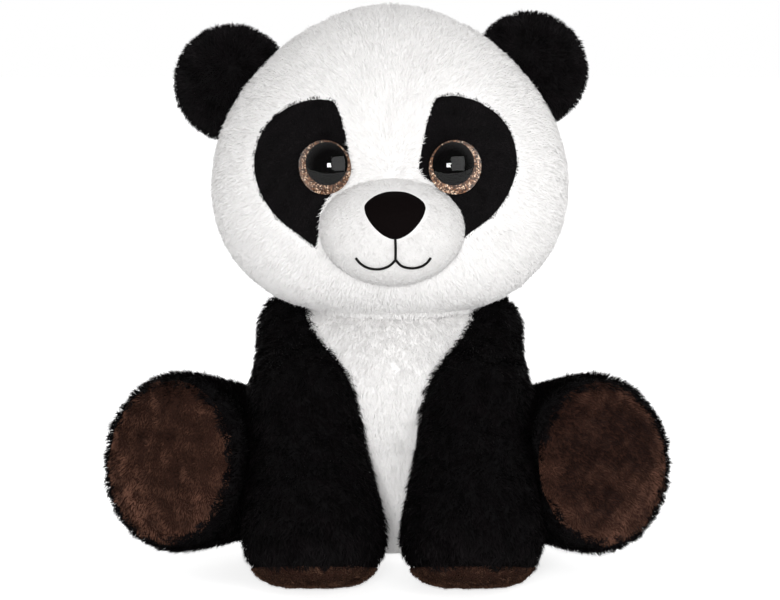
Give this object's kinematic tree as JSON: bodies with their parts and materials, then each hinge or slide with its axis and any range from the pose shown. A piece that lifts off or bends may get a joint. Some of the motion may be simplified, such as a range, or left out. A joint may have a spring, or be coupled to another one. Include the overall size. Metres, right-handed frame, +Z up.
{
  "type": "plush panda",
  "caption": "Sitting plush panda with round ears, glitter eyes, floppy arms and spread legs with brown soles.",
  "frame": {"origin": "middle of the flat seat, on the floor", "axes": "+Z up, the toy faces -Y, its own left side is +X"},
  "size_m": [0.298, 0.188, 0.309],
  "materials": {
    "white_plush": "matte",
    "white_short_plush": "matte",
    "black_plush": "matte",
    "black_short_plush": "matte",
    "brown_plush": "matte",
    "nose_velour": "matte",
    "black_thread": "satin",
    "white_thread": "satin",
    "label_satin": "satin",
    "bag_cotton": "matte",
    "stuffing": "matte",
    "clear_plastic": "gloss",
    "copper_glitter": "gloss",
    "black_plastic": "gloss",
    "washer_plastic": "satin"
  },
  "bodies": {
    "torso": {"belly_panel": "white_plush", "under_belly_panel": "white_plush", "back_yoke": "black_plush", "lower_back_panel": "white_plush", "seat_panel": "white_plush", "body_stuffing": "stuffing", "pellet_bag": "bag_cotton", "closing_stitches": "white_thread", "care_label": "label_satin"},
    "neck": {"neck_panel": "white_plush", "neck_stuffing": "stuffing"},
    "head": {"head_face": "white_plush", "head_side_left": "white_plush", "head_side_right": "white_plush", "head_gusset": "white_plush", "head_stuffing": "stuffing", "eye_patch_left": "black_short_plush", "eye_patch_right": "black_short_plush", "muzzle": "white_short_plush", "nose": "nose_velour", "mouth_stitching": "black_thread", "eye_lens_left": "clear_plastic", "eye_lens_right": "clear_plastic", "eye_iris_left": "copper_glitter", "eye_iris_right": "copper_glitter", "eye_pupil_post_left": "black_plastic", "eye_pupil_post_right": "black_plastic", "eye_washer_left": "washer_plastic", "eye_washer_right": "washer_plastic"},
    "ear_left": {"ear_front_left": "black_short_plush", "ear_back_left": "black_short_plush", "ear_wadding_left": "stuffing"},
    "ear_right": {"ear_front_right": "black_short_plush", "ear_back_right": "black_short_plush", "ear_wadding_right": "stuffing"},
    "arm_left": {"arm_outer_left": "black_plush", "arm_inner_left": "black_plush", "paw_sole_left": "brown_plush", "arm_stuffing_left": "stuffing"},
    "arm_right": {"arm_outer_right": "black_plush", "arm_inner_right": "black_plush", "paw_sole_right": "brown_plush", "arm_stuffing_right": "stuffing"},
    "leg_left": {"leg_upper_left": "black_plush", "leg_lower_left": "black_plush", "foot_sole_left": "brown_plush", "leg_stuffing_left": "stuffing"},
    "leg_right": {"leg_upper_right": "black_plush", "leg_lower_right": "black_plush", "foot_sole_right": "brown_plush", "leg_stuffing_right": "stuffing"}
  },
  "joints": [
    {"name": "head_turn", "type": "hinge", "parent": "torso", "child": "neck", "pos_m": [0, 0, 0.146], "axis": [0, 0, 1], "range_deg": [-25, 25], "stiffness_Nm_per_rad": 1},
    {"name": "head_nod", "type": "hinge", "parent": "neck", "child": "head", "pos_m": [0, 0, 0.146], "axis": [1, 0, 0], "range_deg": [-8, 10], "stiffness_Nm_per_rad": 2.5},
    {"name": "ear_left_fold", "type": "hinge", "parent": "head", "child": "ear_left", "pos_m": [0.08341, 0.004, 0.27751], "axis": [-0.5104, 0, 0.8599], "range_deg": [-12, 12], "stiffness_Nm_per_rad": 0.08},
    {"name": "ear_right_fold", "type": "hinge", "parent": "head", "child": "ear_right", "pos_m": [-0.08868, 0.004, 0.2673], "axis": [0.4052, 0, 0.9142], "range_deg": [-12, 12], "stiffness_Nm_per_rad": 0.08},
    {"name": "arm_left_lift", "type": "hinge", "parent": "torso", "child": "arm_left", "pos_m": [0.054, -0.01, 0.126], "axis": [-1, 0, 0], "range_deg": [0, 40], "stiffness_Nm_per_rad": 0.4},
    {"name": "leg_left_splay", "type": "hinge", "parent": "torso", "child": "leg_left", "pos_m": [0.07397, 0.00427, 0.04949], "axis": [0, 0, 1], "range_deg": [0, 25], "stiffness_Nm_per_rad": 0.6},
    {"name": "arm_right_lift", "type": "hinge", "parent": "torso", "child": "arm_right", "pos_m": [-0.054, -0.01, 0.126], "axis": [-1, 0, 0], "range_deg": [0, 40], "stiffness_Nm_per_rad": 0.4},
    {"name": "leg_right_splay", "type": "hinge", "parent": "torso", "child": "leg_right", "pos_m": [-0.07397, 0.00427, 0.04949], "axis": [0, 0, -1], "range_deg": [0, 25], "stiffness_Nm_per_rad": 0.6}
  ]
}
